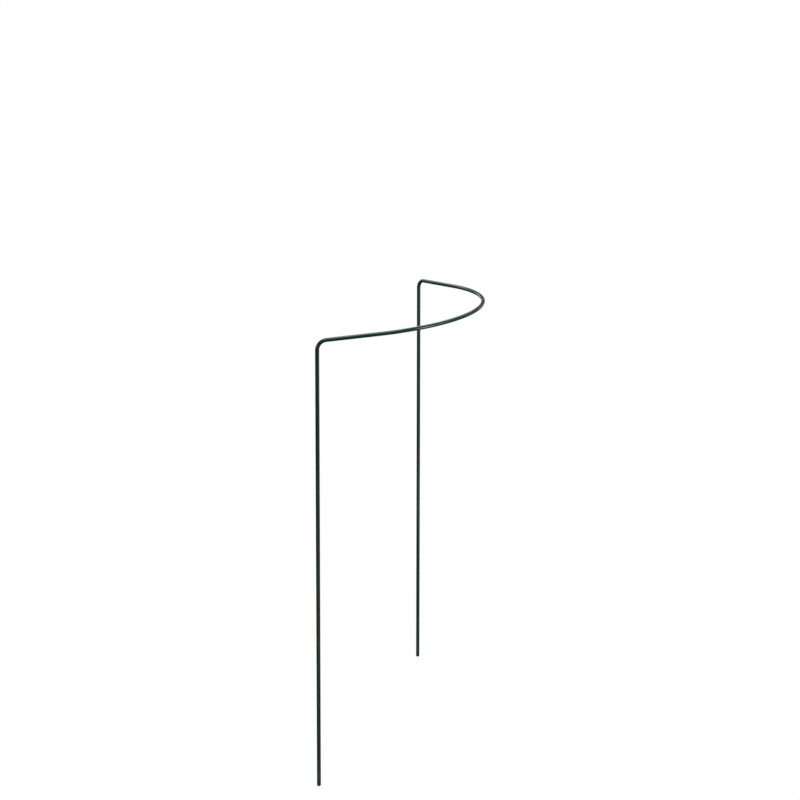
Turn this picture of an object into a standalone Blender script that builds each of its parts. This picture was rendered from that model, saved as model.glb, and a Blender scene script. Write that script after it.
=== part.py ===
"""Half-round shrub support: one coated steel rod, bent into a bow on two long legs.

Metres, +Z up. The origin lies midway between the two leg tips, level with them.
The legs stand side by side along X, and the bow reaches out from their tops towards -Y.
"""

import math

import bmesh
import bpy
from mathutils import Matrix, Vector

# Shape of the rod's centre line
LEG_SPACING = 0.450  # between the two corners, where the leg lines meet the bow lines
LEG_HEIGHT = 0.700  # from the tips up to those corners
LEG_LEAN = math.radians(1.0)  # each leg spreads outwards on its way down
BOW_RISE = math.radians(3.9)  # the bow climbs from the corners to its nose
FLANK_REACH = 0.075  # how far out each straight flank of the bow runs before it curves
FLANK_ANGLE = math.radians(33.5)  # how much the flanks close in on each other
CORNER_RADIUS = 0.014  # bend from leg to bow

# Cross-section
ROD_DIAMETER = 0.0042
COAT_WALL = 0.0006
COAT_FIT = 0.0003  # all round, between the rod and its coat

# End caps
CAP_LENGTH = 0.009
CAP_FLOOR = 0.003  # solid plastic below the blind bore
CAP_FIT = 0.0003  # all round, between the rod and the bore, and where ends meet
TIP_FLAT_DIAMETER = 0.0014  # flat left in the middle of the rounded tip
CAP_EDGE_BREAK = 0.0002  # chamfer of the cap's upper rim

# Fineness of the facets
LEG_STEP = 0.050  # longest facet along a straight run
BEND_STEP = math.radians(9.0)  # turn of one facet in a corner bend
NOSE_STEP = math.radians(4.0)  # turn of one facet round the nose
COAT_ROUNDNESS = 4  # twelve sides
ROD_ROUNDNESS = 3  # ten sides
CAP_SIDES = 24
TIP_ARC_FACETS = 7
SMOOTH_ANGLE = math.radians(40.0)
MERGE_DISTANCE = 0.00001

# Sizes that follow from those above
COAT_BORE = ROD_DIAMETER + 2 * COAT_FIT
COAT_DIAMETER = COAT_BORE + 2 * COAT_WALL
COAT_START = CAP_LENGTH + CAP_FIT
ROD_START = CAP_FLOOR + CAP_FIT
FLANK_END_ACROSS = LEG_SPACING / 2 - FLANK_REACH * math.tan(FLANK_ANGLE)
NOSE_RADIUS = FLANK_END_ACROSS / math.cos(FLANK_ANGLE)
NOSE_CENTRE_OUT = FLANK_REACH - NOSE_RADIUS * math.sin(FLANK_ANGLE)

LEFT = -1
RIGHT = 1


def clear_scene():
    """Remove whatever the scene holds."""
    for leftover in list(bpy.data.objects):
        bpy.data.objects.remove(leftover, do_unlink=True)


def new_collection(name):
    """Make a collection and link it to the scene."""
    collection = bpy.data.collections.new(name)
    bpy.context.scene.collection.children.link(collection)
    return collection


def new_origin(collection):
    """Make the empty that carries every piece of the support."""
    origin = bpy.data.objects.new("support_origin", None)
    origin.empty_display_size = LEG_SPACING / 10
    collection.objects.link(origin)
    return origin


def new_finish(name, colour, roughness, metallic):
    """Make a Principled material."""
    finish = bpy.data.materials.new(name)
    finish.use_nodes = True
    shader = finish.node_tree.nodes["Principled BSDF"]
    shader.inputs["Base Color"].default_value = (*colour, 1.0)
    shader.inputs["Roughness"].default_value = roughness
    shader.inputs["Metallic"].default_value = metallic
    finish.diffuse_color = (*colour, 1.0)
    return finish


def on_bow(across, out):
    """Point in the bow's rising plane, across from the middle and out from the corners."""
    return Vector(
        (across, -out * math.cos(BOW_RISE), LEG_HEIGHT + out * math.sin(BOW_RISE))
    )


def tip_of_leg(side):
    """Foot of the leg line on the left or right side."""
    spread = LEG_HEIGHT * math.tan(LEG_LEAN)
    return Vector((side * (LEG_SPACING / 2 + spread), 0.0, 0.0))


def straight_run(start, end):
    """Points between the two ends of a straight run, without the ends."""
    count = math.ceil((end - start).length / LEG_STEP)
    return [start.lerp(end, i / count) for i in range(1, count)]


def corner_bend(corner, before, after):
    """Points round the bend that joins the run from before to corner with the run to after."""
    back = (before - corner).normalized()
    onward = (after - corner).normalized()
    half_opening = back.angle(onward) / 2
    setback = CORNER_RADIUS / math.tan(half_opening)
    reach = CORNER_RADIUS / math.sin(half_opening)
    centre = corner + (back + onward).normalized() * reach
    arm = corner + back * setback - centre
    axis = arm.cross(corner + onward * setback - centre).normalized()
    turn = math.pi - 2 * half_opening
    count = math.ceil(turn / BEND_STEP)
    return [
        centre + Matrix.Rotation(turn * i / count, 3, axis) @ arm
        for i in range(count + 1)
    ]


def nose_arc():
    """Points from the left flank's end round to the middle of the nose."""
    start = math.pi - FLANK_ANGLE
    turn = start - math.pi / 2
    count = math.ceil(turn / NOSE_STEP)
    points = []
    for i in range(count + 1):
        angle = start - turn * i / count
        across = NOSE_RADIUS * math.cos(angle)
        points.append(on_bow(across, NOSE_CENTRE_OUT + NOSE_RADIUS * math.sin(angle)))
    return points


def centre_line(above_tip):
    """The rod's centre line from leg to leg, with both ends this far above the tips."""
    tip = tip_of_leg(LEFT)
    corner = on_bow(LEFT * LEG_SPACING / 2, 0.0)
    start = tip + (corner - tip).normalized() * above_tip
    arc = nose_arc()
    bend = corner_bend(corner, start, arc[0])
    left_half = [start, *straight_run(start, bend[0]), *bend]
    left_half += [*straight_run(bend[-1], arc[0]), *arc]
    right_half = [Vector((-point.x, point.y, point.z)) for point in left_half[-2::-1]]
    return left_half + right_half


def sweep(name, points, diameter, roundness, capped):
    """Mesh of a round bar along these points, closed at its ends if capped."""
    curve = bpy.data.curves.new(name, "CURVE")
    curve.dimensions = "3D"
    curve.bevel_depth = diameter / 2
    curve.bevel_resolution = roundness
    curve.use_fill_caps = capped
    spline = curve.splines.new("POLY")
    spline.points.add(len(points) - 1)
    for knot, place in zip(spline.points, points):
        knot.co = (*place, 1.0)
    guide = bpy.data.objects.new(name + "_guide", curve)
    bpy.context.scene.collection.objects.link(guide)
    graph = bpy.context.evaluated_depsgraph_get()
    mesh = bpy.data.meshes.new_from_object(guide.evaluated_get(graph))
    bpy.data.objects.remove(guide)
    bpy.data.curves.remove(curve)
    mesh.name = name
    shape = bmesh.new()
    shape.from_mesh(mesh)
    bmesh.ops.remove_doubles(shape, verts=shape.verts, dist=MERGE_DISTANCE)
    shape.to_mesh(mesh)
    shape.free()
    mesh.shade_smooth()
    mesh.set_sharp_from_angle(angle=SMOOTH_ANGLE)
    return mesh


def add_piece(name, mesh, finish, collection, origin):
    """Place a mesh in the collection as a named piece of the support."""
    piece = bpy.data.objects.new(name, mesh)
    collection.objects.link(piece)
    piece.parent = origin
    if finish.name not in mesh.materials:
        mesh.materials.append(finish)
    return piece


def make_steel_core(collection, origin, finish):
    """The bent rod, which ends just short of the floor of each cap's bore."""
    mesh = sweep(
        "steel_core", centre_line(ROD_START), ROD_DIAMETER, ROD_ROUNDNESS, capped=True
    )
    return add_piece("steel_core", mesh, finish, collection, origin)


def make_plastic_coat(collection, origin, finish):
    """The sheath over the rod, from the rim of one cap to the rim of the other."""
    mesh = sweep(
        "plastic_coat",
        centre_line(COAT_START),
        COAT_DIAMETER,
        COAT_ROUNDNESS,
        capped=False,
    )
    coat = add_piece("plastic_coat", mesh, finish, collection, origin)
    wall = coat.modifiers.new("wall", "SOLIDIFY")
    wall.thickness = COAT_WALL
    wall.offset = -1.0
    wall.use_even_offset = True
    return coat


def cap_profile():
    """Half section of an end cap: bore, rim, side and rounded tip, as radius and height."""
    bore = ROD_DIAMETER / 2 + CAP_FIT
    outer = COAT_DIAMETER / 2
    flat = TIP_FLAT_DIAMETER / 2
    round_off = outer - flat
    points = [
        (0.0, CAP_FLOOR),
        (bore, CAP_FLOOR),
        (bore, CAP_LENGTH),
        (outer - CAP_EDGE_BREAK, CAP_LENGTH),
        (outer, CAP_LENGTH - CAP_EDGE_BREAK),
    ]
    for i in range(TIP_ARC_FACETS + 1):
        angle = math.pi / 2 * i / TIP_ARC_FACETS
        points.append(
            (flat + round_off * math.cos(angle), round_off * (1 - math.sin(angle)))
        )
    points.append((0.0, 0.0))
    return points


def make_leg_cap(name, side, mesh, collection, origin, finish):
    """An end cap, turned from its half section and set square to its leg."""
    cap = add_piece(name, mesh, finish, collection, origin)
    turning = cap.modifiers.new("turning", "SCREW")
    turning.steps = CAP_SIDES
    turning.render_steps = CAP_SIDES
    turning.use_merge_vertices = True
    turning.merge_threshold = MERGE_DISTANCE
    cap.location = tip_of_leg(side)
    cap.rotation_euler = (0.0, -side * LEG_LEAN, 0.0)
    return cap


def make_leg_caps(collection, origin, finish):
    """The two alike caps, one on each foot of the rod."""
    points = [(radius, 0.0, height) for radius, height in cap_profile()]
    edges = [(i, i + 1) for i in range(len(points) - 1)]
    mesh = bpy.data.meshes.new("leg_cap")
    mesh.from_pydata(points, edges, [])
    make_leg_cap("left_leg_cap", LEFT, mesh, collection, origin, finish)
    make_leg_cap("right_leg_cap", RIGHT, mesh, collection, origin, finish)


def main():
    """Build the whole support."""
    clear_scene()
    collection = new_collection("Shrub support")
    origin = new_origin(collection)
    bare_steel = new_finish("bare steel", (0.42, 0.42, 0.43), 0.38, 1.0)
    green_plastic = new_finish("dark green plastic", (0.012, 0.036, 0.022), 0.36, 0.0)
    cap_plastic = new_finish("cap plastic", (0.007, 0.014, 0.011), 0.45, 0.0)
    make_steel_core(collection, origin, bare_steel)
    make_plastic_coat(collection, origin, green_plastic)
    make_leg_caps(collection, origin, cap_plastic)


main()
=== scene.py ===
"""Looks of a half-round shrub support: one bent, coated steel rod with a cap on each foot.

Metres, +Z up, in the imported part's own frame. The legs stand side by side along X, and the
bow reaches out from their tops towards -Y.
"""

import logging
import math
from collections.abc import Iterator
from dataclasses import dataclass
from enum import Enum
from typing import Any, ClassVar

import bpy
from mathutils import Matrix, Vector

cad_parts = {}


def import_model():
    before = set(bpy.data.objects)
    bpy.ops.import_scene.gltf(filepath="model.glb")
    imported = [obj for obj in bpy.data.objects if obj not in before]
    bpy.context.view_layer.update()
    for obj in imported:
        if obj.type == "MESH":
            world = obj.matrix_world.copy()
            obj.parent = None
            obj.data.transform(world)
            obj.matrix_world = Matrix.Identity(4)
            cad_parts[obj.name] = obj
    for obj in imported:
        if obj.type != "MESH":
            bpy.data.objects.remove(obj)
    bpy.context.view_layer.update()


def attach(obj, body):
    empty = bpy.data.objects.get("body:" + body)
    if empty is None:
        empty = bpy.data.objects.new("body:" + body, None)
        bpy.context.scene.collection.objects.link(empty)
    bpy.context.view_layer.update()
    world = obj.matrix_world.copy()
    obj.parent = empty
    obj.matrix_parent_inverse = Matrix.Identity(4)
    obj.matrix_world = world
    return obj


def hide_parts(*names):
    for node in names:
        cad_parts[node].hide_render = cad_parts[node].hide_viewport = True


BODY = "root"
STRAIGHTENED = "straightened"  # a point's place if the rod were straight: across, across, along
BEND_SIDE = "bend_side"  # 1 on the inside of the tightest bend, -1 on its outside
NOISE_MEAN = 0.5
LOG = logging.getLogger("shrub support")

Colour = tuple[float, float, float]
Pair = tuple[float, float]
Place = tuple[float, float, float]

# What the lamps are aimed at
FOOT_ACROSS = 0.237  # how far each foot stands from the middle
BOW: Place = (0.0, -0.05, 0.60)
RIGHT_LEG: Place = (FOOT_ACROSS, 0.0, 0.30)
RIGHT_FOOT: Place = (FOOT_ACROSS, 0.0, 0.08)


class Side(Enum):
    """The two feet of the rod."""

    LEFT = "left"
    RIGHT = "right"


class Stretch(Enum):
    """The kinds of stretch that the rod's line is made of."""

    LEG = "leg"
    CORNER = "corner bend"
    FLANK = "flank of the bow"
    NOSE = "nose of the bow"


class Slot(Enum):
    """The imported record's material slots."""

    STEEL = "bare_steel"
    GREEN = "green_plastic"
    CAP = "cap_plastic"


class Wire:
    """One output socket of a node tree, with arithmetic that adds Math nodes."""

    def __init__(self, bench: "Bench", socket: bpy.types.NodeSocket) -> None:
        """Wrap a socket of the tree that the bench builds."""
        self.bench = bench
        self.socket = socket

    def __add__(self, other: Any) -> "Wire":
        """Return this value plus another."""
        return self.bench.math("ADD", self, other)

    def __radd__(self, other: Any) -> "Wire":
        """Return a number plus this value."""
        return self.bench.math("ADD", other, self)

    def __sub__(self, other: Any) -> "Wire":
        """Return this value less another."""
        return self.bench.math("SUBTRACT", self, other)

    def __rsub__(self, other: Any) -> "Wire":
        """Return a number less this value."""
        return self.bench.math("SUBTRACT", other, self)

    def __mul__(self, other: Any) -> "Wire":
        """Return this value times another."""
        return self.bench.math("MULTIPLY", self, other)

    def __rmul__(self, other: Any) -> "Wire":
        """Return a number times this value."""
        return self.bench.math("MULTIPLY", other, self)

    def __truediv__(self, other: Any) -> "Wire":
        """Return this value divided by another."""
        return self.bench.math("DIVIDE", self, other)

    def __rtruediv__(self, other: Any) -> "Wire":
        """Return a number divided by this value."""
        return self.bench.math("DIVIDE", other, self)


class Bench:
    """Adds nodes to one node tree and joins them up."""

    def __init__(self, tree: bpy.types.NodeTree) -> None:
        """Start on a tree."""
        self.tree = tree

    def add(
        self,
        kind: str,
        settings: dict[str, Any] | None = None,
        inputs: dict[str | int, Any] | None = None,
    ) -> bpy.types.Node:
        """Add a node, set its properties and then its sockets.

        Args:
            kind: the node's type.
            settings: its properties, such as an operation.
            inputs: numbers, colours, objects or wires, by a socket's name or position.

        Returns:
            The new node.
        """
        node = self.tree.nodes.new(kind)
        for name, value in (settings or {}).items():
            setattr(node, name, value)
        for key, value in (inputs or {}).items():
            socket = self._socket(node.inputs, key)
            if isinstance(value, Wire):
                self.tree.links.new(value.socket, socket)
            else:
                socket.default_value = value
        return node

    def wire(
        self,
        kind: str,
        settings: dict[str, Any] | None = None,
        inputs: dict[str | int, Any] | None = None,
        output: str | int = 0,
    ) -> Wire:
        """Add a node and return one of its outputs.

        Args:
            kind: the node's type.
            settings: its properties.
            inputs: what goes into its sockets.
            output: the name or position of the socket to return.

        Returns:
            That output, as a wire.
        """
        return self.output_of(self.add(kind, settings, inputs), output)

    def output_of(self, node: bpy.types.Node, output: str | int) -> Wire:
        """Return an output of a node, as a wire."""
        return Wire(self, self._socket(node.outputs, output))

    def math(self, operation: str, *values: Any) -> Wire:
        """Return the result of a Math node on these numbers or wires."""
        inputs = dict(enumerate(values))
        return self.wire("ShaderNodeMath", {"operation": operation}, inputs)

    def vector(self, operation: str, *values: Any, output: str = "Vector") -> Wire:
        """Return the result of a Vector Math node on these vectors or wires."""
        inputs = dict(enumerate(values))
        return self.wire("ShaderNodeVectorMath", {"operation": operation}, inputs, output)

    def scaled(self, direction: Wire, length: Any) -> Wire:
        """Return a vector times a number."""
        inputs = {0: direction, "Scale": length}
        return self.wire("ShaderNodeVectorMath", {"operation": "SCALE"}, inputs, "Vector")

    def parts(self, vector: Wire) -> tuple[Wire, Wire, Wire]:
        """Return a vector's X, Y and Z."""
        node = self.add("ShaderNodeSeparateXYZ", None, {"Vector": vector})
        return tuple(self.output_of(node, axis) for axis in "XYZ")

    def stepped(self, value: Wire, low: float, high: float) -> Wire:
        """Ease a value into a step.

        Args:
            value: what to follow.
            low: where the step starts.
            high: where it ends.

        Returns:
            How far the value has risen from low to high, from 0 to 1.
        """
        settings = {"interpolation_type": "SMOOTHSTEP"}
        inputs = {"Value": value, "From Min": low, "From Max": high}
        return self.wire("ShaderNodeMapRange", settings, inputs, "Result")

    def mixed(self, share: Wire, first: "Wire | Colour", second: Colour) -> Wire:
        """Blend two colours.

        Args:
            share: how much of the second is in the blend, from 0 to 1.
            first: a colour, or a wire that carries one.
            second: the colour that is blended in.

        Returns:
            The blend.
        """
        ground = first if isinstance(first, Wire) else (*first, 1.0)
        inputs = {"Factor": share, "A": ground, "B": (*second, 1.0)}
        return self.wire("ShaderNodeMix", {"data_type": "RGBA"}, inputs, "Result")

    def attribute(self, name: str, output: str) -> Wire:
        """Return what the surface keeps under a name, by the output "Vector" or "Fac"."""
        settings = {"attribute_type": "GEOMETRY", "attribute_name": name}
        return self.wire("ShaderNodeAttribute", settings, None, output)

    @staticmethod
    def _socket(sockets: Any, key: str | int) -> bpy.types.NodeSocket:
        """Find a socket.

        Args:
            sockets: a node's inputs or outputs.
            key: its position, or its name.

        Returns:
            The socket at that position, or the one in use that has that name.
        """
        if isinstance(key, int):
            return sockets[key]
        return next(s for s in sockets if s.name == key and s.enabled)


@dataclass(frozen=True)
class Knot:
    """A point of the rod's line, with the pull towards the middle of the bend there.

    The pull is as long as the bend is tight: the rod's thickness over the bend's radius.
    """

    place: Vector
    pull: Vector


@dataclass(frozen=True)
class Run:
    """One stretch of the rod's line, by where it starts and how long it is."""

    kind: Stretch
    start: float
    length: float


@dataclass(frozen=True)
class BentRod:
    """The line that the rod follows: up a leg, round the bow and down the other leg."""

    leg_spacing: float = 0.450  # between the corners, where leg lines meet bow lines
    leg_height: float = 0.700  # from the tips up to those corners
    leg_lean: float = math.radians(1.0)  # each leg spreads outwards on its way down
    bow_rise: float = math.radians(3.9)  # the bow climbs from the corners to its nose
    flank_reach: float = 0.075  # how far out a straight flank runs before the bow curves
    flank_angle: float = math.radians(33.5)  # how much the flanks close in
    corner_radius: float = 0.014
    corner_step: float = math.radians(1.5)
    nose_step: float = math.radians(0.4)
    easing: float = 0.2  # share of a bend over which it sets in, and lets go
    thickness: float = 0.006  # over the coat

    def on_bow(self, across: float, out: float) -> Vector:
        """Return a point of the bow's rising plane, out from the line of the corners."""
        down_range = -out * math.cos(self.bow_rise)
        return Vector((across, down_range, self.leg_height + out * math.sin(self.bow_rise)))

    @property
    def tip(self) -> Vector:
        """The foot of the left leg's line."""
        spread = self.leg_height * math.tan(self.leg_lean)
        return Vector((-self.leg_spacing / 2 - spread, 0.0, 0.0))

    @property
    def corner(self) -> Vector:
        """Where the left leg's line meets the bow's."""
        return self.on_bow(-self.leg_spacing / 2, 0.0)

    @property
    def flank_end(self) -> Vector:
        """Where the left flank gives way to the nose."""
        across = self.leg_spacing / 2 - self.flank_reach * math.tan(self.flank_angle)
        return self.on_bow(-across, self.flank_reach)

    @property
    def nose_radius(self) -> float:
        """The nose's radius, which leaves it tangent to both flanks."""
        return -self.flank_end.x / math.cos(self.flank_angle)

    @property
    def nose_turn(self) -> float:
        """How far the nose turns from a flank to its middle."""
        return math.pi / 2 - self.flank_angle

    @property
    def corner_opening(self) -> float:
        """The angle that is left between leg and flank."""
        return (self.tip - self.corner).angle(self.flank_end - self.corner)

    @property
    def setback(self) -> float:
        """How far from a corner its bend starts."""
        return self.corner_radius / math.tan(self.corner_opening / 2)

    @property
    def runs(self) -> list[Run]:
        """The stretches of the line.

        Returns:
            One run for each, in order from the left tip to the right one.
        """
        leg = (self.corner - self.tip).length - self.setback
        bend = self.corner_radius * (math.pi - self.corner_opening)
        flank = (self.flank_end - self.corner).length - self.setback
        nose = 2 * self.nose_radius * self.nose_turn
        left = [(Stretch.LEG, leg), (Stretch.CORNER, bend), (Stretch.FLANK, flank)]
        found = []
        start = 0.0
        for kind, length in [*left, (Stretch.NOSE, nose), *reversed(left)]:
            found.append(Run(kind, start, length))
            start += length
        return found

    @property
    def length(self) -> float:
        """The rod's whole length, from tip to tip."""
        return self.runs[-1].start + self.runs[-1].length

    def rungs(self, start: float, stop: float, pitch: dict[Stretch, float]) -> list[float]:
        """Space rings of points along part of the line.

        Args:
            start: where the part begins, along from a tip.
            stop: where it ends.
            pitch: the widest gap between two rings, for each kind of stretch.

        Returns:
            The rings' distances along the line, both ends included.
        """
        marks = []
        for run in self.runs:
            first = max(start, run.start)
            last = min(stop, run.start + run.length)
            if last > first:
                count = math.ceil((last - first) / pitch[run.kind])
                marks += [first + (last - first) * i / count for i in range(count)]
        return [*marks, stop]

    def knots(self, foot: Side) -> list[Knot]:
        """Lay out the whole line.

        Args:
            foot: where it starts.

        Returns:
            Its knots, from that foot to the other one.
        """
        left = [Knot(self.tip, Vector()), *self._corner_knots(), *self._nose_knots()]
        knots = left + [self._mirrored(knot) for knot in left[-2::-1]]
        return knots if foot is Side.LEFT else [self._mirrored(knot) for knot in knots]

    def line_object(self, foot: Side) -> bpy.types.Object:
        """Make the line as a chain of edges that starts at one of the feet.

        Args:
            foot: the foot to start from.

        Returns:
            An object that the turning reads, with each knot's pull as an attribute.
        """
        knots = self.knots(foot)
        line = chain_object("rod_line", [knot.place for knot in knots])
        pulls = line.data.attributes.new("pull", "FLOAT_VECTOR", "POINT")
        for item, knot in zip(pulls.data, knots):
            item.vector = knot.pull
        return line

    def _corner_knots(self) -> Iterator[Knot]:
        """Go round the left corner's bend.

        Yields:
            Its knots, from leg to flank.
        """
        back = (self.tip - self.corner).normalized()
        onward = (self.flank_end - self.corner).normalized()
        reach = self.corner_radius / math.sin(self.corner_opening / 2)
        centre = self.corner + (back + onward).normalized() * reach
        first = self.corner + back * self.setback
        last = self.corner + onward * self.setback
        turn = math.pi - self.corner_opening
        yield from self._arc(centre, first, last, turn, self.corner_step, share=1.0)

    def _nose_knots(self) -> Iterator[Knot]:
        """Go round the left half of the nose.

        Yields:
            Its knots, from the left flank to the nose's middle.
        """
        out = self.flank_reach - self.nose_radius * math.sin(self.flank_angle)
        centre = self.on_bow(0.0, out)
        middle = self.on_bow(0.0, out + self.nose_radius)
        ends = (self.flank_end, middle)
        yield from self._arc(centre, *ends, self.nose_turn, self.nose_step, share=0.5)

    def _arc(
        self,
        centre: Vector,
        first: Vector,
        last: Vector,
        turn: float,
        step: float,
        share: float,
    ) -> Iterator[Knot]:
        """Go round an arc, with the bend eased in and out.

        Args:
            centre: the middle of its circle.
            first: its first point.
            last: its last point.
            turn: the angle between the two.
            step: the largest turn from knot to knot.
            share: how much of the whole bend this arc is, counted from its start.

        Yields:
            The knots, both ends included.
        """
        arm = first - centre
        axis = arm.cross(last - centre).normalized()
        tightness = self.thickness / arm.length
        count = math.ceil(turn / step)
        for i in range(count + 1):
            spoke = Matrix.Rotation(turn * i / count, 3, axis) @ arm
            done = share * i / count
            eased = min(1.0, done / self.easing, (1 - done) / self.easing)
            eased = eased * eased * (3 - 2 * eased)
            yield Knot(centre + spoke, -spoke.normalized() * tightness * eased)

    @staticmethod
    def _mirrored(knot: Knot) -> Knot:
        """Return the knot's twin on the other half of the rod."""
        place, pull = (Vector((-v.x, v.y, v.z)) for v in (knot.place, knot.pull))
        return Knot(place, pull)


def chain_object(name: str, points: list[Any]) -> bpy.types.Object:
    """Make a helper object that is a chain of edges.

    Args:
        name: what it is called.
        points: the chain's points in order.

    Returns:
        The object, linked to the scene.
    """
    mesh = bpy.data.meshes.new(name)
    mesh.from_pydata(points, [(i, i + 1) for i in range(len(points) - 1)], [])
    chain = bpy.data.objects.new(name, mesh)
    bpy.context.scene.collection.objects.link(chain)
    return chain


class Turning:
    """Geometry Nodes tree that turns a half section round the rod's line."""

    INPUTS = {
        "Half section": "NodeSocketGeometry",
        "Rod line": "NodeSocketObject",
        "Facets": "NodeSocketInt",
        "Flattening": "NodeSocketFloat",
        "Unevenness": "NodeSocketFloat",
        "Seed": "NodeSocketInt",
        "Finish": "NodeSocketMaterial",
    }
    WANDER_ACROSS = 160.0  # waves per metre, round the rod
    WANDER_ALONG = 28.0  # waves per metre, along the rod
    SEAM_GAP = 0.000002  # points closer than this are one
    SHARP_ANGLE = math.radians(38.0)
    TINY = 0.000001  # keeps a division by a straight run's tightness defined

    def __init__(self, rod: BentRod) -> None:
        """Build the tree for a rod.

        Args:
            rod: the line that sections are turned round.
        """
        self.rod = rod
        self.tree = bpy.data.node_groups.new("turned round the rod", "GeometryNodeTree")
        self.tree.is_modifier = True
        for name, kind in self.INPUTS.items():
            self.tree.interface.new_socket(name, in_out="INPUT", socket_type=kind)
        self.tree.interface.new_socket(
            "Piece", in_out="OUTPUT", socket_type="NodeSocketGeometry"
        )
        self.bench = Bench(self.tree)
        self.given = self.bench.add("NodeGroupInput")
        self._draw_tree()

    def turn(self, piece: "RodPiece") -> bpy.types.Object:
        """Turn a piece and bake it to a plain mesh.

        Args:
            piece: the piece, with its half section and how it is turned.

        Returns:
            Its object, at the origin, with its place in its mesh.
        """
        line = self.rod.line_object(piece.foot)
        host = self._section_object(piece)
        turning = host.modifiers.new("turning", "NODES")
        turning.node_group = self.tree
        values = {
            "Rod line": line,
            "Facets": piece.facets,
            "Flattening": piece.flattening,
            "Unevenness": piece.unevenness,
            "Seed": piece.seed,
            "Finish": piece.finish.material(),
        }
        for item in self.tree.interface.items_tree:
            if item.name in values:
                turning[item.identifier] = values[item.name]
        graph = bpy.context.evaluated_depsgraph_get()
        mesh = bpy.data.meshes.new_from_object(host.evaluated_get(graph))
        mesh.name = piece.name
        mesh.materials.pop(index=0)  # the empty slot that the sheet came with
        mesh.set_sharp_from_angle(angle=self.SHARP_ANGLE)
        for helper in (host, line):
            bpy.data.objects.remove(helper)
        turned = bpy.data.objects.new(piece.name, mesh)
        bpy.context.scene.collection.objects.link(turned)
        return turned

    @staticmethod
    def _section_object(piece: "RodPiece") -> bpy.types.Object:
        """Make a piece's half section as a chain of edges.

        Args:
            piece: the piece that it belongs to.

        Returns:
            The chain, along X and with its radius along Z.
        """
        points = [(along, 0.0, radius) for along, radius in piece.section()]
        if piece.closed:
            points.append(points[0])
        return chain_object(piece.name + "_section", points)

    def _input(self, name: str) -> Wire:
        """Return one of the tree's named inputs."""
        return self.bench.output_of(self.given, name)

    def _draw_tree(self) -> None:
        """Lay a sheet of points out and wrap it round the rod's line."""
        bench = self.bench
        section = self._input("Half section")
        facets = self._input("Facets")
        sheet, row, column = self._flat_sheet(section, facets)
        along, radius = self._read_section(section, row)
        angle = column * (2 * math.pi) / facets
        place, outward, pull = self._read_line(along, angle)
        inward_share = bench.vector("DOT_PRODUCT", outward, pull, output="Value")
        radius = radius * self._roundness(inward_share, pull)
        straight = bench.wire(
            "ShaderNodeCombineXYZ",
            None,
            {
                "X": radius * bench.math("COSINE", angle),
                "Y": radius * bench.math("SINE", angle),
                "Z": along,
            },
        )
        radius = radius + self._wander(straight)
        place = bench.vector("ADD", place, bench.scaled(outward, radius))
        tightest = self.rod.thickness / self.rod.corner_radius
        sheet = self._stored(sheet, STRAIGHTENED, "FLOAT_VECTOR", straight)
        sheet = self._stored(sheet, BEND_SIDE, "FLOAT", inward_share / tightest)
        skin = bench.wire(
            "GeometryNodeSetPosition", None, {"Geometry": sheet, "Position": place}
        )
        self._hand_over(skin)

    def _flat_sheet(self, section: Wire, facets: Wire) -> tuple[Wire, Wire, Wire]:
        """Lay out a sheet with a row for each point of the section.

        Args:
            section: the half section's chain of edges.
            facets: how many columns of faces the sheet has.

        Returns:
            The sheet, and the row and the column that a point of it is in.
        """
        bench = self.bench
        count = bench.wire(
            "GeometryNodeAttributeDomainSize",
            {"component": "MESH"},
            {"Geometry": section},
            "Point Count",
        )
        sizes = {
            "Size X": count - 1,
            "Size Y": facets,
            "Vertices X": count,
            "Vertices Y": facets + 1,
        }
        sheet = bench.wire("GeometryNodeMeshGrid", None, sizes, "Mesh")
        across, up, _ = bench.parts(bench.wire("GeometryNodeInputPosition"))
        return sheet, across + (count - 1) / 2, up + facets / 2

    def _read_section(self, section: Wire, row: Wire) -> tuple[Wire, Wire]:
        """Read the half section.

        Args:
            section: its chain of edges.
            row: the row of the sheet, which is the number of the section's point.

        Returns:
            The point's distance along the rod and its radius.
        """
        bench = self.bench
        settings = {"data_type": "FLOAT_VECTOR", "domain": "POINT"}
        inputs = {
            "Geometry": section,
            "Value": bench.wire("GeometryNodeInputPosition"),
            "Index": bench.math("FLOOR", row + 0.5),  # the nearest whole number
        }
        found = bench.wire("GeometryNodeSampleIndex", settings, inputs, "Value")
        along, _, radius = bench.parts(found)
        return along, radius

    def _read_line(self, along: Wire, angle: Wire) -> tuple[Wire, Wire, Wire]:
        """Read the rod's line.

        Args:
            along: the distance along it.
            angle: how far round the rod to look.

        Returns:
            The line's point, the direction out of it at that angle, and its pull.
        """
        bench = self.bench
        line = bench.wire(
            "GeometryNodeObjectInfo", None, {"Object": self._input("Rod line")}, "Geometry"
        )
        curve = bench.wire("GeometryNodeMeshToCurve", None, {"Mesh": line}, "Curve")
        pull = bench.wire(
            "GeometryNodeInputNamedAttribute",
            {"data_type": "FLOAT_VECTOR"},
            {"Name": "pull"},
            "Attribute",
        )
        sample = bench.add(
            "GeometryNodeSampleCurve",
            {"mode": "LENGTH", "data_type": "FLOAT_VECTOR", "use_all_curves": True},
            {"Curves": curve, "Value": pull, "Length": along},
        )
        tangent = bench.output_of(sample, "Tangent")
        normal = bench.output_of(sample, "Normal")
        across = bench.vector("CROSS_PRODUCT", tangent, normal)
        outward = bench.vector(
            "ADD",
            bench.scaled(normal, bench.math("COSINE", angle)),
            bench.scaled(across, bench.math("SINE", angle)),
        )
        place = bench.output_of(sample, "Position")
        return place, outward, bench.output_of(sample, "Value")

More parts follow.
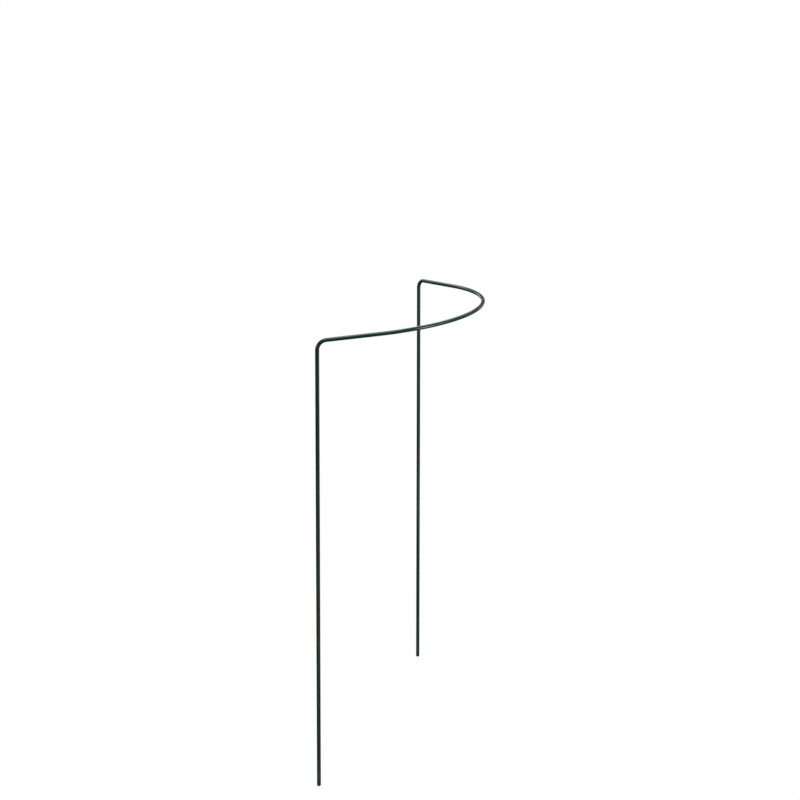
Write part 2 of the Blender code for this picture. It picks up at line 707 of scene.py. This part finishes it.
    def _roundness(self, inward_share: Wire, pull: Wire) -> Wire:
        """Make a bend's section a little oval.

        Args:
            inward_share: how far the point faces along the pull, times the pull's length.
            pull: the line's pull there.

        Returns:
            The factor on the radius.
        """
        bench = self.bench
        tightness = bench.vector("LENGTH", pull, output="Value")
        safe = bench.math("MAXIMUM", tightness, self.TINY)
        squashed = 2 * inward_share * inward_share / safe - tightness
        return 1 - self._input("Flattening") * squashed

    def _wander(self, straight: Wire) -> Wire:
        """Let the surface wander a little from the true round.

        Args:
            straight: the point on the straightened rod.

        Returns:
            How far the surface stands off there, plus or minus.
        """
        bench = self.bench
        waves = (self.WANDER_ACROSS, self.WANDER_ACROSS, self.WANDER_ALONG)
        inputs = {
            "Vector": bench.vector("MULTIPLY", straight, waves),
            "W": self._input("Seed"),
            "Scale": 1.0,
            "Detail": 1.0,
        }
        noise = bench.wire("ShaderNodeTexNoise", {"noise_dimensions": "4D"}, inputs, "Fac")
        return (noise - NOISE_MEAN) * self._input("Unevenness")

    def _stored(self, skin: Wire, name: str, kind: str, value: Wire) -> Wire:
        """Keep a value on the skin's points.

        Args:
            skin: the skin.
            name: what the value is kept under.
            kind: its data type.
            value: the value.

        Returns:
            The skin that holds it.
        """
        return self.bench.wire(
            "GeometryNodeStoreNamedAttribute",
            {"data_type": kind, "domain": "POINT"},
            {"Geometry": skin, "Name": name, "Value": value},
            "Geometry",
        )

    def _hand_over(self, skin: Wire) -> None:
        """Close the skin's seams, face it outward, smooth and paint it, and send it out.

        Args:
            skin: the sheet, wrapped round the rod.
        """
        bench = self.bench
        skin = bench.wire(
            "GeometryNodeMergeByDistance",
            None,
            {"Geometry": skin, "Distance": self.SEAM_GAP},
            "Geometry",
        )
        skin = bench.wire("GeometryNodeFlipFaces", None, {"Mesh": skin})
        skin = bench.wire("GeometryNodeSetShadeSmooth", None, {"Geometry": skin})
        skin = bench.wire("GeometryNodeRealizeInstances", None, {"Geometry": skin})
        skin = bench.wire(
            "GeometryNodeSetMaterial",
            None,
            {"Geometry": skin, "Material": self._input("Finish")},
        )
        bench.add("NodeGroupOutput", None, {"Piece": skin})


@dataclass(frozen=True)
class Pattern:
    """Noise that is drawn out along the rod, and how much of it counts as marks.

    The noise lies mostly between 0.3 and 0.7.
    """

    across: float  # size of a patch round the rod
    along: float  # its size along the rod
    detail: float = 1.0  # how many finer layers the noise holds
    onset: float = 0.35  # the noise at which a mark begins
    full: float = 0.65  # the noise at which it is full

    def noise(self, place: Wire) -> Wire:
        """Draw the noise.

        Args:
            place: the point on the straightened rod.

        Returns:
            The noise there.
        """
        waves = (1 / self.across, 1 / self.across, 1 / self.along)
        inputs = {
            "Vector": place.bench.vector("MULTIPLY", place, waves),
            "Scale": 1.0,
            "Detail": self.detail,
        }
        return place.bench.wire("ShaderNodeTexNoise", None, inputs, "Fac")

    def marks_in(self, noise: Wire) -> Wire:
        """Return how full a mark is at this noise, from 0 to 1."""
        return noise.bench.stepped(noise, self.onset, self.full)

    def marks(self, place: Wire) -> Wire:
        """Return how full a mark is at a point of the straightened rod, from 0 to 1."""
        return self.marks_in(self.noise(place))


@dataclass(frozen=True)
class Finish:
    """What every finish has: its name, its ground colour and how rough it is."""

    name: str
    colour: Colour
    roughness: float

    def material(self) -> bpy.types.Material:
        """Give the material, which is made at its first use.

        Returns:
            The material.
        """
        if self.name in bpy.data.materials:
            return bpy.data.materials[self.name]
        material = bpy.data.materials.new(self.name)
        material.use_nodes = True
        material.diffuse_color = (*self.colour, 1.0)
        bench = Bench(material.node_tree)
        shader = material.node_tree.nodes["Principled BSDF"]
        self.draw(bench, shader)
        return material

    def draw(self, bench: Bench, shader: bpy.types.Node) -> None:
        """Wire the finish up; each finish has its own way."""
        raise NotImplementedError

    @staticmethod
    def swing(noise: Wire, reach: float) -> Wire:
        """Return a swing about nought that follows a noise."""
        return reach * (noise - NOISE_MEAN)

    @staticmethod
    def cover(shader: bpy.types.Node, colour: Wire, roughness: Wire, height: Wire) -> None:
        """Lead what a finish has drawn into its shader.

        Args:
            shader: the finish's shader.
            colour: the colour of the surface.
            roughness: how rough it is.
            height: how far it is raised, in metres.
        """
        relief = {"Height": height, "Distance": 1.0, "Strength": 1.0}
        normal = height.bench.wire("ShaderNodeBump", None, relief)
        drawn = {"Base Color": colour, "Roughness": roughness, "Normal": normal}
        for name, wire in drawn.items():
            wire.bench.tree.links.new(wire.socket, shader.inputs[name])


@dataclass(frozen=True)
class ExtrudedPlastic(Finish):
    """Half-gloss soft plastic, drawn over the rod through a die and handled since.

    A share is how much of a mark's colour shows where the mark is full. A swing is how much
    rougher the surface is where a noise is 1 than where it is 0, or at a full mark than off
    it.
    """

    name: str = "extruded green plastic"
    colour: Colour = (0.003, 0.038, 0.019)
    roughness: float = 0.19
    ior: float = 1.50

    faded: Colour = (0.006, 0.060, 0.034)  # where the pigment lies thinner
    tone: Pattern = Pattern(0.009, 0.040, 3.0, 0.35, 0.68)
    tone_swing: float = 0.14

    streaked: Colour = (0.002, 0.027, 0.014)  # lengthwise, where it lies thicker
    streak_share: float = 0.7
    lines: Pattern = Pattern(0.0005, 0.120, 1.0, 0.48, 0.66)
    line_height: float = 0.000016
    line_swing: float = 0.10

    stretched: Colour = (0.012, 0.066, 0.042)
    stretch_share: float = 0.5
    stretch_reach: Pair = (0.35, 1.0)  # how far outside in a bend it begins, and is full
    stretch_swing: float = 0.05

    peel: Pattern = Pattern(0.0013, 0.0013)
    peel_height: float = 0.000014
    grain: Pattern = Pattern(0.00014, 0.00014, 0.0)
    grain_height: float = 0.0000011
    grain_swing: float = 0.05

    scuffed: Colour = (0.055, 0.112, 0.082)
    scuff_share: float = 0.40
    scuffs: Pattern = Pattern(0.0008, 0.0035, 3.0, 0.56, 0.70)
    scuff_patches: Pattern = Pattern(0.040, 0.040, 1.0, 0.50, 0.64)
    scuff_depth: float = 0.0000042
    scratch_share: float = 0.42
    scratches: Pattern = Pattern(0.00009, 0.009, 1.0, 0.66, 0.76)
    scratch_depth: float = 0.000010
    scratch_reach: Pair = (0.076, 0.190)  # from the foot to where they thin out, and are few
    few_scratches: float = 0.25  # share of a scratch that is left beyond that reach
    wear_swing: float = 0.30

    def draw(self, bench: Bench, shader: bpy.types.Node) -> None:
        """Wire up tones, streaks, die lines, skin texture, scratches and scuffs.

        Args:
            bench: the tree to add to.
            shader: the shader that they feed.
        """
        place = bench.attribute(STRAIGHTENED, "Vector")
        tone = self.tone.noise(place)
        lines = self.lines.noise(place)
        grain = self.grain.noise(place)
        scratches = self._soil_scratches(place)
        scuffs = self.scuffs.marks(place) * self.scuff_patches.marks(place)
        bend_side = bench.attribute(BEND_SIDE, "Fac")
        stretched = bench.stepped(0 - bend_side, *self.stretch_reach)
        colour = bench.mixed(self.tone.marks_in(tone), self.colour, self.faded)
        streaks = self.lines.marks_in(lines)
        colour = bench.mixed(self.streak_share * streaks, colour, self.streaked)
        colour = bench.mixed(self.stretch_share * stretched, colour, self.stretched)
        shares = (self.scuff_share * scuffs, self.scratch_share * scratches)
        worn = bench.math("MAXIMUM", *shares)
        colour = bench.mixed(worn, colour, self.scuffed)
        roughness = self.roughness + self.swing(lines, self.line_swing)
        roughness = roughness + self.swing(tone, self.tone_swing)
        roughness = roughness + self.swing(grain, self.grain_swing)
        roughness = roughness + self.stretch_swing * stretched + self.wear_swing * worn
        height = self.line_height * lines + self.peel_height * self.peel.noise(place)
        height = height + self.grain_height * grain - self.scratch_depth * scratches
        height = height - self.scuff_depth * scuffs
        self.cover(shader, colour, roughness, height)
        shader.inputs["IOR"].default_value = self.ior

    def _soil_scratches(self, place: Wire) -> Wire:
        """Draw the fine lengthwise scratches, most of them where the legs go into soil.

        Args:
            place: the point on the straightened rod.

        Returns:
            How deep a scratch is, from 0 to 1.
        """
        bench = place.bench
        along = bench.parts(place)[2]
        from_foot = bench.math("MINIMUM", along, BentRod().length - along)
        in_soil = 1 - bench.stepped(from_foot, *self.scratch_reach)
        strength = self.few_scratches + (1 - self.few_scratches) * in_soil
        return self.scratches.marks(place) * strength


@dataclass(frozen=True)
class MouldedPlastic(Finish):
    """Satin moulded plastic with the fine grain of its mould, rubbed at the tip."""

    name: str = "moulded cap plastic"
    colour: Colour = (0.005, 0.013, 0.010)
    roughness: float = 0.40
    ior: float = 1.50

    light: Colour = (0.011, 0.024, 0.018)
    tone: Pattern = Pattern(0.003, 0.003, 2.0)
    grain: Pattern = Pattern(0.00022, 0.00022)
    grain_height: float = 0.000012
    grain_swing: float = 0.16

    rubbed: Colour = (0.070, 0.085, 0.078)
    rub_share: float = 0.5
    rub: Pattern = Pattern(0.00028, 0.0014, 2.0, 0.54, 0.70)
    rub_depth: float = 0.000012
    rub_reach: Pair = (0.0009, 0.0030)  # up from the tip to where it thins out, and is least
    rub_fall: float = 0.8  # how much of the rubbing is gone beyond that reach
    rub_swing: float = 0.18

    def draw(self, bench: Bench, shader: bpy.types.Node) -> None:
        """Wire up mould grain, slow tones and the rubbed tip.

        Args:
            bench: the tree to add to.
            shader: the shader that they feed.
        """
        place = bench.attribute(STRAIGHTENED, "Vector")
        grain = self.grain.noise(place)
        height_above_tip = bench.parts(place)[2]
        near_tip = 1 - self.rub_fall * bench.stepped(height_above_tip, *self.rub_reach)
        rubbed = near_tip * self.rub.marks(place)
        colour = bench.mixed(self.tone.marks(place), self.colour, self.light)
        colour = bench.mixed(self.rub_share * rubbed, colour, self.rubbed)
        roughness = self.roughness + self.swing(grain, self.grain_swing)
        roughness = roughness + self.rub_swing * rubbed
        height = self.grain_height * grain - self.rub_depth * rubbed
        self.cover(shader, colour, roughness, height)
        shader.inputs["IOR"].default_value = self.ior


@dataclass(frozen=True)
class DrawnSteel(Finish):
    """Bare steel with the fine lines that drawing leaves, and a few dull freckles."""

    name: str = "drawn steel"
    colour: Colour = (0.42, 0.42, 0.43)
    roughness: float = 0.34

    lines: Pattern = Pattern(0.00012, 0.020, 2.0)
    line_height: float = 0.000003
    line_swing: float = 0.20
    dulled: Colour = (0.16, 0.13, 0.11)
    freckles: Pattern = Pattern(0.0012, 0.0012, 3.0, 0.62, 0.74)
    freckle_swing: float = 0.25

    def draw(self, bench: Bench, shader: bpy.types.Node) -> None:
        """Wire up draw lines and freckles.

        Args:
            bench: the tree to add to.
            shader: the shader that they feed.
        """
        place = bench.attribute(STRAIGHTENED, "Vector")
        lines = self.lines.noise(place)
        freckles = self.freckles.marks(place)
        colour = bench.mixed(freckles, self.colour, self.dulled)
        roughness = self.roughness + self.swing(lines, self.line_swing)
        roughness = roughness + self.freckle_swing * freckles
        height = self.line_height * (lines - freckles)
        self.cover(shader, colour, roughness, height)
        shader.inputs["Metallic"].default_value = 1.0


@dataclass(frozen=True)
class RodPiece:
    """A piece that is turned round the rod's line and stands for one CAD solid."""

    rod: BentRod
    finish: Finish
    foot: Side = Side.LEFT  # the foot that distances are counted from
    facets: int = 48  # round the rod
    flattening: float = 0.0  # how much a bend flattens the round, over its tightness
    unevenness: float = 0.0  # how far the surface wanders from the true round
    seed: int = 0  # of that wandering

    name: ClassVar[str]
    cad_node: ClassVar[str]
    slot: ClassVar[Slot]
    closed: ClassVar[bool] = False  # whether the half section's last point joins its first

    def section(self) -> list[Pair]:
        """Return the distance along the rod and the radius of each point of the section."""
        raise NotImplementedError

    def build(self, turning: Turning) -> bpy.types.Object:
        """Turn the piece, dress it and hang it on the frame.

        Args:
            turning: the tree that turns sections round the rod's line.

        Returns:
            The finished piece.
        """
        piece = turning.turn(self)
        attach(piece, BODY)
        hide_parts(self.cad_node)
        return piece


def rounded(corner: Pair, before: Pair, after: Pair, radius: float, count: int) -> list[Pair]:
    """Round a right-angled corner of a half section off.

    Args:
        corner: the sharp corner.
        before: the way back along the section from it, as a unit step.
        after: the way onward from it, as a unit step.
        radius: the rounding's radius.
        count: how many facets it has.

    Returns:
        The points of the rounding, both ends included.
    """
    points = []
    for i in range(count + 1):
        angle = math.pi / 2 * i / count
        back = radius * (1 - math.sin(angle))
        onward = radius * (1 - math.cos(angle))
        along = corner[0] + before[0] * back + after[0] * onward
        out = corner[1] + before[1] * back + after[1] * onward
        points.append((along, out))
    return points


@dataclass(frozen=True)
class PlasticCoat(RodPiece):
    """The green sheath, from the rim of one cap to the rim of the other."""

    flattening: float = 0.06
    unevenness: float = 0.00006
    seed: int = 11

    diameter: float = 0.0060
    bore: float = 0.0048
    start: float = 0.00906  # along from either tip, just clear of the cap's rim
    rim_radius: float = 0.00015
    rim_facets: int = 3

    name = "green_coat"
    cad_node = "plastic_coat"
    slot = Slot.GREEN
    closed = True
    PITCH: ClassVar[dict[Stretch, float]] = {
        Stretch.LEG: 0.006,
        Stretch.CORNER: 0.0008,
        Stretch.FLANK: 0.004,
        Stretch.NOSE: 0.002,
    }

    def section(self) -> list[Pair]:
        """Draw the wall: out along the coat, and back along its bore.

        Returns:
            The distance along the rod and the radius of each point.
        """
        stop = self.rod.length - self.start
        outer = self.diameter / 2
        inner = self.bore / 2
        inset = self.rim_radius
        marks = self.rod.rungs(self.start + inset, stop - inset, self.PITCH)
        size = (self.rim_radius, self.rim_facets)
        section = rounded((self.start, outer), (0, -1), (1, 0), *size)
        section += [(along, outer) for along in marks[1:-1]]
        section += rounded((stop, outer), (-1, 0), (0, -1), *size)
        section += rounded((stop, inner), (0, 1), (-1, 0), *size)
        section += [(along, inner) for along in marks[-2:0:-1]]
        section += rounded((self.start, inner), (1, 0), (0, 1), *size)
        return section


@dataclass(frozen=True)
class SteelCore(RodPiece):
    """The bent rod inside the coat, with its cut ends in the caps."""

    facets: int = 32
    flattening: float = 0.06

    diameter: float = 0.0042
    start: float = 0.0033
    end_bevel: float = 0.0003

    name = "steel_rod"
    cad_node = "steel_core"
    slot = Slot.STEEL
    PITCH: ClassVar[dict[Stretch, float]] = {
        Stretch.LEG: 0.020,
        Stretch.CORNER: 0.0012,
        Stretch.FLANK: 0.010,
        Stretch.NOSE: 0.003,
    }

    def section(self) -> list[Pair]:
        """Draw the rod from one bevelled end to the other.

        Returns:
            The distance along the rod and the radius of each point.
        """
        radius = self.diameter / 2
        stop = self.rod.length - self.start
        marks = self.rod.rungs(self.start + self.end_bevel, stop - self.end_bevel, self.PITCH)
        section = [(self.start, 0.0), (self.start, radius - self.end_bevel)]
        section += [(along, radius) for along in marks]
        section += [(stop, radius - self.end_bevel), (stop, 0.0)]
        return section


@dataclass(frozen=True)
class LegCap(RodPiece):
    """The rounded cap that is pushed onto one of the rod's feet."""

    facets: int = 64
    unevenness: float = 0.00002

    length: float = 0.0090
    floor: float = 0.0030
    diameter: float = 0.0060
    bore: float = 0.0048
    tip_flat: float = 0.0014
    rim_radius: float = 0.0002
    rim_facets: int = 4
    tip_facets: int = 16

    slot = Slot.CAP

    @property
    def name(self) -> str:
        """The piece's name, by its foot."""
        return self.foot.value + "_foot_cap"

    @property
    def cad_node(self) -> str:
        """The CAD solid that the cap stands for."""
        return self.foot.value + "_leg_cap"

    def section(self) -> list[Pair]:
        """Draw the rounded tip, the side, the rim and the bore.

        Returns:
            The distance along the rod and the radius of each point.
        """
        outer = self.diameter / 2
        inner = self.bore / 2
        flat = self.tip_flat / 2
        round_off = outer - flat
        size = (self.rim_radius, self.rim_facets)
        section = [(0.0, 0.0)]
        for i in range(self.tip_facets + 1):
            angle = math.pi / 2 * i / self.tip_facets
            along = round_off * (1 - math.cos(angle))
            section.append((along, flat + round_off * math.sin(angle)))
        section.append((self.length / 2, outer))
        section += rounded((self.length, outer), (-1, 0), (0, -1), *size)
        section += [(self.length, inner), (self.floor, inner), (self.floor, 0.0)]
        return section


def direction(azimuth: float, elevation: float) -> Vector:
    """Turn two angles into a direction.

    Args:
        azimuth: 0 in front of the bow and a quarter turn on its right, in radians.
        elevation: above the horizon, in radians.

    Returns:
        The direction, one metre long.
    """
    level = math.cos(elevation)
    return Vector((math.sin(azimuth) * level, -math.cos(azimuth) * level, math.sin(elevation)))


@dataclass(frozen=True)
class PhotoCamera:
    """The camera where the photograph was taken from."""

    azimuth: float = math.radians(-70.819)
    elevation: float = math.radians(16.315)
    roll: float = math.radians(0.283)
    distance: float = 2.4017
    aim: Place = (0.0513, -0.0281, 0.5402)
    lens: float = 67.5  # millimetres, for the sensor below
    sensor: float = 36.0

    def build(self) -> bpy.types.Object:
        """Set the camera up and make it the scene's own.

        Returns:
            The camera.
        """
        back = direction(self.azimuth, self.elevation)
        right = Vector((math.cos(self.azimuth), math.sin(self.azimuth), 0.0))
        up = back.cross(right)
        turned_right = right * math.cos(self.roll) + up * math.sin(self.roll)
        turned_up = up * math.cos(self.roll) - right * math.sin(self.roll)
        data = bpy.data.cameras.new("camera")
        data.lens = self.lens
        data.sensor_width = self.sensor
        camera = bpy.data.objects.new("camera", data)
        place = Matrix((turned_right, turned_up, back)).transposed().to_4x4()
        place.translation = Vector(self.aim) + back * self.distance
        camera.matrix_world = place
        bpy.context.scene.collection.objects.link(camera)
        bpy.context.scene.camera = camera
        return camera


@dataclass(frozen=True)
class Softbox:
    """A soft lamp or a bright card that is aimed at a part of the support."""

    name: str
    azimuth: float  # degrees, 0 in front of the bow and 90 on its right
    elevation: float  # degrees above the horizon
    distance: float
    width: float
    height: float
    radiance: float
    aim: Place = BOW

    WATTS_PER_RADIANCE = 4.0  # for each square metre of the lamp
    FLOOR_AIM = 0.30  # height of the point that a card on the floor is aimed at
    FLOOR_DISTANCE = 0.31  # from that point down to the card, just under the floor
    FLOOR_ELEVATION = -89.0  # just short of straight down, which leaves its turn settled

    @classmethod
    def on_floor(
        cls,
        name: str,
        foot: float,
        reach: float,
        width: float,
        length: float,
        radiance: float,
    ) -> "Softbox":
        """Lay a card that faces up just under the floor, on the way from a foot to the camera.

        The floor lets its light through.

        Args:
            name: what it is called.
            foot: how far across the foot stands from the middle.
            reach: from the foot to the middle of the card.
            width: across that way.
            length: along it.
            radiance: how bright the card is.

        Returns:
            The card, as a lamp.
        """
        towards = PhotoCamera.azimuth
        across = foot + reach * math.sin(towards)
        return cls(
            name=name,
            azimuth=math.degrees(towards),
            elevation=cls.FLOOR_ELEVATION,
            distance=cls.FLOOR_DISTANCE,
            width=width,
            height=length,
            radiance=radiance,
            aim=(across, -reach * math.cos(towards), cls.FLOOR_AIM),
        )

    def build(self) -> bpy.types.Object:
        """Hang the lamp up and turn it to its aim.

        Returns:
            The lamp.
        """
        away = direction(math.radians(self.azimuth), math.radians(self.elevation))
        data = bpy.data.lights.new(self.name, "AREA")
        data.shape = "RECTANGLE"
        data.size = self.width
        data.size_y = self.height
        data.energy = self.WATTS_PER_RADIANCE * self.width * self.height * self.radiance
        lamp = bpy.data.objects.new(self.name, data)
        lamp.location = Vector(self.aim) + away * self.distance
        lamp.rotation_mode = "QUATERNION"
        lamp.rotation_quaternion = (-away).to_track_quat("-Z", "Y")
        lamp.visible_camera = False
        bpy.context.scene.collection.objects.link(lamp)
        return lamp


@dataclass(frozen=True)
class Studio:
    """Pale floor, pale backdrop, soft lamps and the camera."""

    floor_radius: float = 9.0
    floor_level: float = -0.0003  # just under the tips
    floor_sides: int = 96
    dome_sides: int = 64
    dome_rings: int = 32
    paper_white: float = 1.0
    room_glow: float = 0.10
    lamps: tuple[Softbox, ...] = (
        # Name, azimuth, elevation, distance, width, height, radiance and aim
        Softbox("back lamp", 118.0, 52.0, 1.5, 1.8, 1.2, 2.5),
        Softbox("overhead lamp", 100.0, 80.0, 1.3, 1.4, 1.2, 0.5),
        Softbox("upper front lamp", -60.0, 72.0, 1.4, 1.0, 0.6, 4.2),
        Softbox("front panel", 2.0, -1.0, 1.8, 0.9, 0.9, 1.1),
        Softbox("front strip, near", -8.0, 3.0, 1.8, 0.35, 0.5, 8.8),
        Softbox("front strip, middle", 2.0, 3.0, 1.8, 0.35, 0.5, 1.95),
        Softbox("front strip, far", 12.0, 3.0, 1.8, 0.35, 0.5, 1.1),
        Softbox("right front panel", 22.0, 0.0, 1.8, 0.4, 0.7, 0.53),
        Softbox("right side panel", 40.0, 5.0, 1.8, 0.5, 0.6, 0.6),
        Softbox("right panel", 72.0, 5.0, 1.8, 0.6, 0.6, 0.4),
        Softbox("low back panel", 108.0, -4.0, 1.8, 0.5, 0.5, 1.1),
        Softbox("right back panel", 130.0, 5.0, 1.8, 0.5, 0.7, 0.9),
        Softbox("left back panel", 160.0, 15.0, 1.8, 1.0, 0.9, 0.7),
        Softbox("left panel", -135.0, 15.0, 1.8, 1.2, 0.9, 1.2),
        Softbox("near bounce card", -82.0, -24.0, 1.6, 1.0, 0.6, 0.3),
        Softbox("leg card, tall", -40.7, 0.0, 0.594, 0.2, 0.6, 0.7, RIGHT_LEG),
        Softbox("leg card, low", -31.9, 0.0, 0.353, 0.3, 0.3, 0.5, RIGHT_FOOT),
        # Name, foot, reach, width, length and radiance
        Softbox.on_floor("floor card, first", -FOOT_ACROSS, 0.17, 0.10, 0.30, 0.41),
        Softbox.on_floor("floor card, second", -FOOT_ACROSS, 0.52, 0.14, 0.40, 0.94),
        Softbox.on_floor("floor card, third", -FOOT_ACROSS, 1.00, 0.25, 0.55, 0.48),
        Softbox.on_floor("floor card, right foot", FOOT_ACROSS, 0.17, 0.10, 0.30, 0.24),
    )

    def build(self) -> None:
        """Set the whole studio up."""
        paper = self._paper()
        self._build_floor(paper)
        self._build_backdrop(paper)
        self._light_room()
        for lamp in self.lamps:
            lamp.build()
            LOG.info("lamp: %s", lamp.name)
        PhotoCamera().build()
        bpy.context.scene.view_settings.view_transform = "Standard"

    def _paper(self) -> bpy.types.Material:
        """Make the plain white paper of floor and backdrop.

        Returns:
            Its material, evenly bright and shadowless.
        """
        material = bpy.data.materials.new("white paper")
        material.use_nodes = True
        shader = material.node_tree.nodes["Principled BSDF"]
        shader.inputs["Base Color"].default_value = (0.0, 0.0, 0.0, 1.0)
        shader.inputs["Specular IOR Level"].default_value = 0.0
        shader.inputs["Emission Color"].default_value = (1.0, 1.0, 1.0, 1.0)
        shader.inputs["Emission Strength"].default_value = self.paper_white
        return material

    def _build_floor(self, paper: bpy.types.Material) -> None:
        """Lay a round floor.

        Args:
            paper: its material.
        """
        bpy.ops.mesh.primitive_circle_add(
            vertices=self.floor_sides,
            radius=self.floor_radius,
            fill_type="NGON",
            location=(0.0, 0.0, self.floor_level),
        )
        self._stage(bpy.context.object, "floor", paper)

    def _build_backdrop(self, paper: bpy.types.Material) -> None:
        """Stand a dome round everything.

        Args:
            paper: its material.
        """
        bpy.ops.mesh.primitive_uv_sphere_add(
            segments=self.dome_sides, ring_count=self.dome_rings, radius=self.floor_radius
        )
        self._stage(bpy.context.object, "backdrop", paper)

    @staticmethod
    def _stage(thing: bpy.types.Object, name: str, paper: bpy.types.Material) -> None:
        """Put paper on a thing and keep its light off the support.

        Args:
            thing: the floor or the backdrop.
            name: what it is called.
            paper: its material.
        """
        thing.name = name
        thing.data.materials.append(paper)
        thing.visible_diffuse = False
        thing.visible_glossy = False
        thing.visible_transmission = False
        thing.visible_shadow = False

    def _light_room(self) -> None:
        """Fill the room with a dim, even light."""
        world = bpy.data.worlds.new("room")
        world.use_nodes = True
        background = world.node_tree.nodes["Background"]
        background.inputs["Color"].default_value = (1.0, 1.0, 1.0, 1.0)
        background.inputs["Strength"].default_value = self.room_glow
        bpy.context.scene.world = world


def main() -> None:
    """Dress the support and set the studio up round it."""
    logging.basicConfig(level=logging.INFO, format="%(name)s: %(message)s")
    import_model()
    Studio().build()
    rod = BentRod()
    turning = Turning(rod)
    pieces = (
        SteelCore(rod, DrawnSteel()),
        PlasticCoat(rod, ExtrudedPlastic()),
        LegCap(rod, MouldedPlastic(), Side.LEFT, seed=19),
        LegCap(rod, MouldedPlastic(), Side.RIGHT, seed=21),
    )
    for maker in pieces:
        piece = maker.build(turning)
        LOG.info("%s: %d faces", piece.name, len(piece.data.polygons))


if __name__ == "__main__":
    main()
